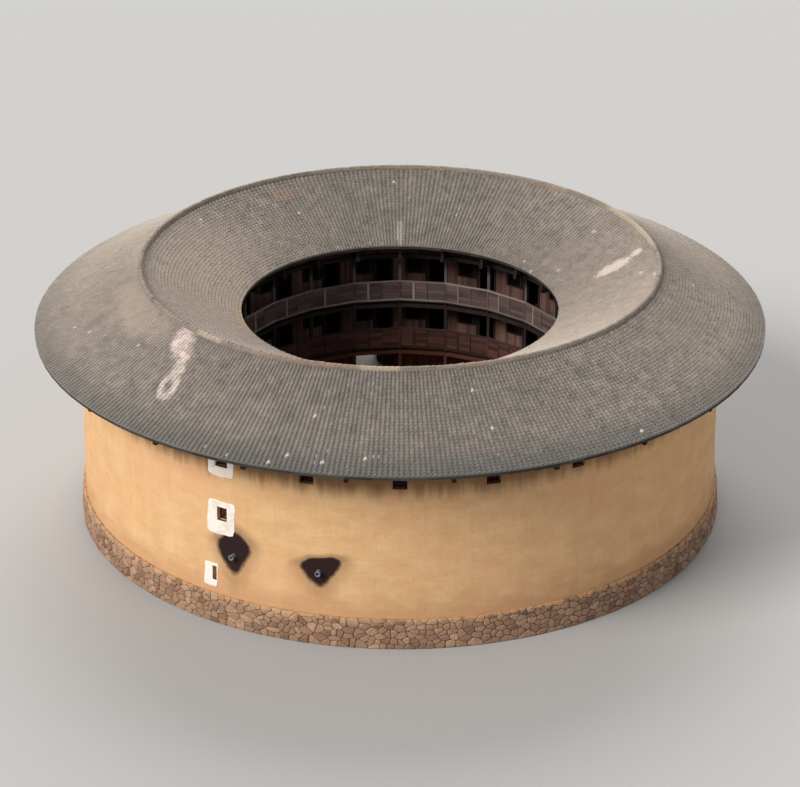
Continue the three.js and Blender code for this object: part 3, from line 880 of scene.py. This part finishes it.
def rubble_outlines(start, end):
    """Outlines of closely fitted stones on a strip as high as the plinth, as points (s, z)."""
    rows, left_out, jitter = 6, 0.14, 0.065
    tall = PLINTH_TOP / rows
    seeds = []
    for i in range(rows):
        s = start + rng.uniform(0, 0.2)
        while s < end:
            if rng.random() > left_out:
                seeds.append((s, (i + 0.5) * tall + rng.normal(0, jitter)))
            s += rng.uniform(0.2, 0.66)
    seeds = np.array(sorted(seeds))
    stretch = np.array([0.72, 1.0])  # makes the stones wider than they are high
    joint, edge_joint = 0.011, 0.0077  # from a stone to the middle of its joint, and to the strip's edge
    widest, around = 1.1, 26  # a stone's neighbours are this near along the strip, and in the sorted list
    edges = np.array([((start, 0), (-1, 0)), ((end, 0), (1, 0)),
                      ((0, PLINTH_TOP), (0, 1)), ((0, 0), (0, -1))])
    outlines = []
    for i, seed in enumerate(seeds):
        near = seeds[max(0, i - around): i + around + 1]
        near = near[np.abs(near[:, 0] - seed[0]) < widest]
        polygon = seed + np.array([(-0.6, -0.5), (0.6, -0.5), (0.6, 0.5), (-0.6, 0.5)])
        for other in near:
            towards = (other - seed) * stretch ** 2
            length = math.hypot(*towards)
            if length > 1e-6:
                polygon = clip(polygon, (seed + other) / 2 - towards / length * joint, towards / length)
        for point, normal in edges:
            polygon = clip(polygon, point - normal * edge_joint, normal)
        if len(polygon) > 2 and np.ptp(polygon[:, 0]) > 0.08 and np.ptp(polygon[:, 1]) > 0.06:
            outlines.append(polygon)
    return outlines


def rubble_stone(soup, outline):
    """One stone, with blunted corners, a rough domed face and sides that run into the plinth."""
    following = np.roll(outline, -1, axis=0)
    blunt = rng.uniform(0.12, 0.26, (len(outline), 2, 1))
    after = outline + (following - outline) * blunt[:, 0]
    before = following + (outline - following) * blunt[:, 1]
    ring = np.stack([after, before], axis=1).reshape(-1, 2)
    middle = ring.mean(axis=0) + rng.normal(0, 0.012, 2)
    count = len(ring)
    dome = rng.uniform(0.018, 0.045)
    # Scale, height over the plinth and roughness of each ring of points
    layers = [(1.0, -0.07, 0.0), (1.0, 0.0, 0.003), (0.86, dome * 0.75, 0.005), (0.45, dome, 0.006)]
    points = []
    for scale, proud, rough in layers:
        at = middle + (ring - middle) * scale
        r = plinth_radius(at[:, 1]) + proud + rng.normal(0, 1, count) * rough
        points.append(polar(r, at[:, 0] / PLINTH_ARC, at[:, 1]))
    crown = plinth_radius(middle[1]) + dome + rng.normal(0, 0.004)
    points.append(polar(crown, middle[0] / PLINTH_ARC, middle[1])[None])
    faces = grid_faces(len(layers), count, wrap_columns=True).tolist()
    last = (len(layers) - 1) * count
    faces += [[last + i, last + (i + 1) % count, len(layers) * count] for i in range(count)]
    faces.append(list(range(count))[::-1])
    soup.add(np.concatenate(points), faces, np.clip(rng.normal(0.5, 0.27), 0, 1))


def rubble():
    """Fitted stones of mixed size all over the plinth, stopping at the gateway."""
    soups = {where: Soup() for where in QUARTERS}
    quarter = math.pi / 2
    half = GATE_HALF + 0.02
    start, end = (GATE_ANGLE - 2 * math.pi) * PLINTH_ARC + half, GATE_ANGLE * PLINTH_ARC - half
    for outline in rubble_outlines(start, end):
        angle = outline[:, 0].mean() / PLINTH_ARC
        where = QUARTERS[int((angle + quarter / 2) // quarter) % 4]
        rubble_stone(soups[where], outline)
    for where, soup in soups.items():
        soup.make(f"plinth_stones_{where}", RUBBLE, "rubble_stone")


# Galleries
RAILING = (9.14, 9.22)  # distances from the middle at the seams, inner and outer
RAIL_TALL, TOP_RAIL = 0.08, 1.07  # a rail's height, and where the upper one starts over the floor
ROOM_FRONT = (10.78, 10.90)
PLANK_STEP, PLANK_WIDE = 0.19, 0.184
DOOR = (-1.0, -0.15, 0.08, 1.95)  # left and right from the bay's middle, sill and top over the floor
WINDOW = (0.25, 1.05, 1.0, 1.85)


def railing(storey):
    """Rails and stiles with boards between them: weathered grey on the third storey, dark on the second."""
    name = f"railing_{STOREYS[storey]}"
    low, high = FLOORS[storey] + RAIL_TALL, FLOORS[storey] + TOP_RAIL
    rails, boards = Soup(), Soup()
    half = RAILING[0] * math.sin(BAY / 2)
    r, back = RAILING[0] * BAY_COS, RAILING[1] * BAY_COS
    # Middle and half width of each stile, and what it belongs to
    stiles = [(-half + 0.03, 0.03, boards), (-0.2 * half, 0.02, boards), (0.4 * half, 0.055, rails),
              (half - 0.03, 0.03, boards)]
    courses, gap = 5, 0.006
    tall = (high - low) / courses
    for k in range(BAYS):
        for foot in (FLOORS[storey] + 0.001, high):
            rails.bar(k * BAY, (r, back), (-half, half), foot, foot + RAIL_TALL)
        for t, wide, soup in stiles:
            soup.bar(k * BAY, (r + 0.006, r + 0.06), (t - wide, t + wide), low, high)
        for (left, left_wide, _), (right, right_wide, _) in zip(stiles, stiles[1:]):
            for i in range(courses):
                z = low + i * tall
                lean = rng.normal(0, 0.004)
                t = (left + left_wide, right - right_wide)
                boards.bar(k * BAY, (r + 0.03 + lean, r + 0.045 + lean), t, z + gap, z + tall - gap)
    rail_look, board_look = (DARK, BALUSTER) if storey == 1 else (PALE, PANEL)
    rails.make(f"{name}_rails", rail_look, "pale_timber", [f"gallery_{name}"])
    boards.make(f"{name}_boards", board_look, "dark_timber")


def room_planks(soup, angle, low, high):
    """Upright planks on the room front of one bay, cut round its door and window."""
    face = ROOM_FRONT[0] * BAY_COS
    half = ROOM_FRONT[0] * math.sin(BAY / 2)
    for t in np.arange(-half, half - 0.05, PLANK_STEP):
        t1 = min(t + PLANK_WIDE, half)
        spans = [(low, high)]
        for left, right, sill, top in (DOOR, WINDOW):
            if t1 > left - 0.05 and t < right + 0.05:
                spans = [(low, low + sill - 0.03), (low + top + 0.05, high)]
        for z0, z1 in spans:
            if z1 - z0 > 0.02:
                soup.bar(angle, (face - 0.02, face - 0.001), (t, t1), z0, z1)


def room_joinery(soup, angle, low):
    """The frames of one bay's door and window, the window's bars and the door's open leaf."""
    face, back = ROOM_FRONT[0] * BAY_COS, ROOM_FRONT[1] * BAY_COS
    frame_r = (face - 0.045, face + 0.05)
    for left, right, sill, top in (DOOR, WINDOW):
        foot, head = low + sill, low + top
        for t in ((left - 0.06, left + 0.01), (right - 0.01, right + 0.06)):
            soup.bar(angle, frame_r, t, foot, head)
        for z in ((head - 0.01, head + 0.07), (foot - 0.05, foot + 0.01)):
            soup.bar(angle, frame_r, (left - 0.08, right + 0.08), *z)
    left, right, sill, top = WINDOW
    for t in np.linspace(left, right, 8)[1:-1]:
        soup.bar(angle, (face + 0.02, face + 0.045), (t - 0.012, t + 0.012), low + sill, low + top)
    hinge, _, sill, top = DOOR
    leaf_length, leaf, clearance = 0.83, (hinge - 0.045, hinge - 0.005), 0.01
    soup.bar(angle, (back, back + leaf_length), leaf, low + sill + clearance, low + top - clearance)


def room_front(storey):
    """The planks and joinery of one storey. The ground floor has none in the gate's bay."""
    low, high = FLOORS[storey] + 0.002, CEILINGS[storey] - 0.002
    planks, joinery = Soup(), Soup()
    for k in range(BAYS):
        if storey == 0 and k == GATE_BAY:
            continue
        room_planks(planks, k * BAY, low, high)
        room_joinery(joinery, k * BAY, low)
    name = f"room_front_{STOREYS[storey]}"
    planks.make(f"{name}_planks", RED if storey == 0 else PLANK, "dark_timber")
    joinery.make(f"{name}_joinery", DARK, "dark_timber")


# Smoke pipes and gate
# The pipe's outline, as distances from the middle of the house and radii
PIPE_SECTIONS = [(15.14, 0.090), (15.14, 0.118), (16.66, 0.118), (16.67, 0.135), (16.745, 0.138),
                 (16.755, 0.100), (16.70, 0.088)]
LEAF_BACK, LEAF_FRONT, LEDGE_FRONT = 1.149, 1.10, 1.075  # distances from the middle of the passage
LEAF_REACH, LEDGE_REACH = (15.15, 15.945), (15.16, 15.93)
LEAF_LOW, LEAF_HIGH = 0.303, 2.93
LEDGES, LEDGE_TALL = (0.55, 1.55, 2.55), 0.12


def pipes():
    """Clay pipes through the wall, with a thickened rim outside."""
    turn = full_turn(20)
    r, radius = np.array(PIPE_SECTIONS).T[:, :, None]
    t, z = radius * np.cos(turn), PIPE_HEIGHT + radius * np.sin(turn)
    faces = grid_faces(*t.shape, True, True)
    for name, angle in PIPE_ANGLES.items():
        c, s = math.cos(angle), math.sin(angle)
        points = np.stack([t * c + r * s, t * s - r * c, z], axis=-1)
        piece(f"{name}_clay", points, faces, 0.5, CLAY, "clay_pipe", [name])


def gate_leaves():
    """Plank leaves with ledges, folded back against the sides of the passage."""
    for name, side in (("gate_leaf_1", -1), ("gate_leaf_2", 1)):
        soup = Soup()
        t = sorted((side * LEAF_BACK, side * LEAF_FRONT))
        edges = np.linspace(*LEAF_REACH, 5)
        for a, b in zip(edges, edges[1:]):
            soup.bar(GATE_ANGLE, (a + 0.003, b - 0.003), t, LEAF_LOW, LEAF_HIGH)
        ledge = sorted((side * LEAF_FRONT, side * LEDGE_FRONT))
        for z in LEDGES:
            soup.bar(GATE_ANGLE, LEDGE_REACH, ledge, z, z + LEDGE_TALL)
        soup.make(f"{name}_planks", DARK, "dark_timber", [name])


# Light and camera
def soft_light(name, azimuth, elevation, spread, strength, colour):
    """A light like the sky round the sun, from an azimuth that is measured from -Y towards +X."""
    light = bpy.data.lights.new(name, "SUN")
    light.energy = strength
    light.angle = math.radians(spread)
    light.color = colour
    made = add_object(name, light)
    azimuth, elevation = math.radians(azimuth), math.radians(elevation)
    towards = Vector(polar(math.cos(elevation), azimuth, math.sin(elevation)))
    made.rotation_mode = "QUATERNION"
    made.rotation_quaternion = towards.to_track_quat("Z", "Y")


def stage():
    """A pale floor, and soft light from the left and from behind."""
    bpy.ops.mesh.primitive_circle_add(vertices=64, radius=900, fill_type="NGON", location=(0, 0, -0.01))
    floor = bpy.context.object
    floor.name = "floor"
    sh = Shader("studio_floor", roughness=0.95, specular=0.1)
    floor.data.materials.append(sh.finish((0.42, 0.415, 0.41, 1)))

    world = bpy.data.worlds.new("studio")
    bpy.context.scene.world = world
    world.use_nodes = True
    sky = world.node_tree.nodes["Background"]
    sky.inputs["Color"].default_value = (0.95, 0.97, 1.0, 1)
    sky.inputs["Strength"].default_value = 0.45
    soft_light("key", -56, 38, 28, 3.05, (1.0, 0.965, 0.92))
    soft_light("back_light", 178, 33, 50, 2.8, (1.0, 0.985, 0.97))


def camera():
    """The photo's viewpoint, 27 degrees above the base. A long lens makes the house fill the view."""
    distance, elevation = 161.4, math.radians(27.09)
    aim = Vector((0, 0, 5.7))
    data = bpy.data.cameras.new("camera")
    data.sensor_width = 36
    data.lens = 137
    data.clip_start, data.clip_end = 1, 3000
    made = add_object("camera", data)
    made.location = (0, -distance * math.cos(elevation), distance * math.sin(elevation))
    made.rotation_mode = "QUATERNION"
    made.rotation_quaternion = (aim - made.location).to_track_quat("-Z", "Y")
    bpy.context.scene.camera = made


camera()
stage()
dress_cad_nodes()
tiled_slope("outer", OUTER_EAVE, 20 * BAYS)
tiled_slope("inner", INNER_EAVE, 320)
for side, eave, uphill, count in (("outer", OUTER_EAVE, -1, 16 * BAYS), ("inner", INNER_EAVE, 1, 8 * BAYS)):
    roof_boards(side, eave)
    rafters(side, eave, uphill, count)
    eave_boards(side, eave, uphill)
ridge_band()
ridge_tiles()
walls()
plaster()
window_frames()
rubble()
railing(1)
railing(2)
for storey in range(len(STOREYS)):
    room_front(storey)
pipes()
gate_leaves()
bpy.context.scene.view_settings.view_transform = "Standard"
